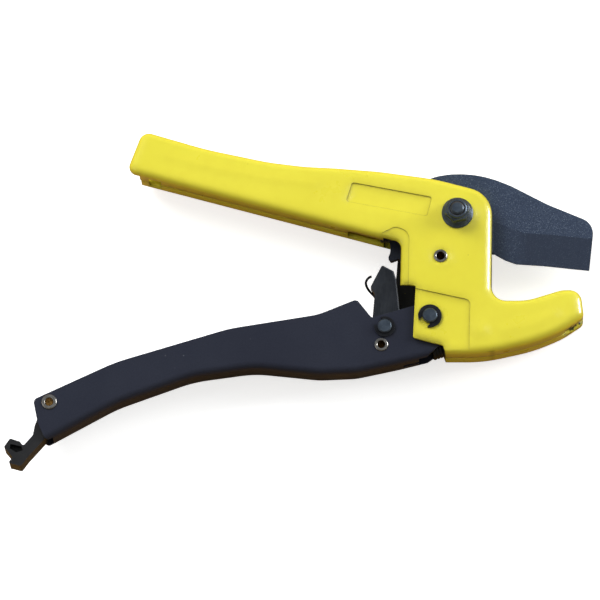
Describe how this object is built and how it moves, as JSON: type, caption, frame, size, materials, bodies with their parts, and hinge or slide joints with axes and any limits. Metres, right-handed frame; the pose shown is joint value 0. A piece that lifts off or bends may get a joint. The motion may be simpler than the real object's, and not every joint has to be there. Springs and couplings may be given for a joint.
{
  "type": "plastic pipe cutter",
  "caption": "Hand-held ratchet cutter for plastic pipe: yellow two-shell body with hooked jaw, wide dark blade, black channel handle, pawl and swinging locking catch.",
  "frame": {"origin": "on the axis of the largest pipe the jaw seats, in the blade's mid-plane", "axes": "+X out of the jaw past its tip, +Y from the lower handle towards the upper handle, +Z along the pivots to the nut side; the tool lies flat, head side down"},
  "size_m": [0.2637, 0.1545, 0.0336],
  "materials": {
    "body_enamel": "gloss lemon-yellow enamel",
    "blade_coating": "dark slate non-stick coating with a fine sparkle",
    "handle_powder": "satin black powder coat",
    "black_oxide": "black oxide, oiled",
    "pawl_steel": "blackened hardened steel, bright on the worn edge",
    "spring_steel": "blackened spring steel",
    "steel": "bright turned steel",
    "nickel": "nickel plate",
    "nylon": "natural matte nylon",
    "catch_plastic": "black moulded nylon"
  },
  "bodies": {
    "body": {"right_body_shell": "body_enamel", "left_body_shell": "body_enamel", "pivot_bolt": "black_oxide", "pivot_nut": "black_oxide", "nut_lock_ring": "nylon", "pivot_bush": "steel", "blade_thrust_washers": "steel", "bolt_spring_washer": "spring_steel", "stop_rivet": "nickel", "handle_pin": "black_oxide", "handle_pin_clip": "spring_steel", "handle_washers": "nylon", "spring_post": "steel", "return_spring": "spring_steel"},
    "cutting_blade": {"blade": "blade_coating"},
    "handle": {"lower_handle": "handle_powder", "spring_anchor_rivet": "nickel", "pawl_pin": "black_oxide", "pawl_pin_clip": "spring_steel", "pawl_spacer": "steel", "handle_spring_pin": "steel", "catch_rivet": "nickel", "pawl_spring": "spring_steel"},
    "ratchet_pawl": {"pawl": "pawl_steel"},
    "locking_catch": {"catch": "catch_plastic"}
  },
  "joints": [
    {"name": "blade_swing", "type": "hinge", "parent": "body", "child": "cutting_blade", "pos_m": [-0.0366, 0.0192, 0], "axis": [0, 0, -1], "range_deg": [-40, 40]},
    {"name": "handle_swing", "type": "hinge", "parent": "body", "child": "handle", "pos_m": [-0.049, -0.0288, 0], "axis": [0, 0, -1], "range_deg": [0, 32], "deforming": ["return_spring"]},
    {"name": "pawl_swing", "type": "hinge", "parent": "handle", "child": "ratchet_pawl", "pos_m": [-0.0693, -0.0331, 0], "axis": [0, 0, -1], "range_deg": [-47, 0], "deforming": ["pawl_spring"]},
    {"name": "catch_swing", "type": "hinge", "parent": "handle", "child": "locking_catch", "pos_m": [-0.2194, -0.0675, 0], "axis": [0, 0, -1], "range_deg": [0, 197]}
  ],
  "couplings": [
    {"joint": "pawl_swing", "follows": "handle_swing", "ratio": -1.45}
  ]
}
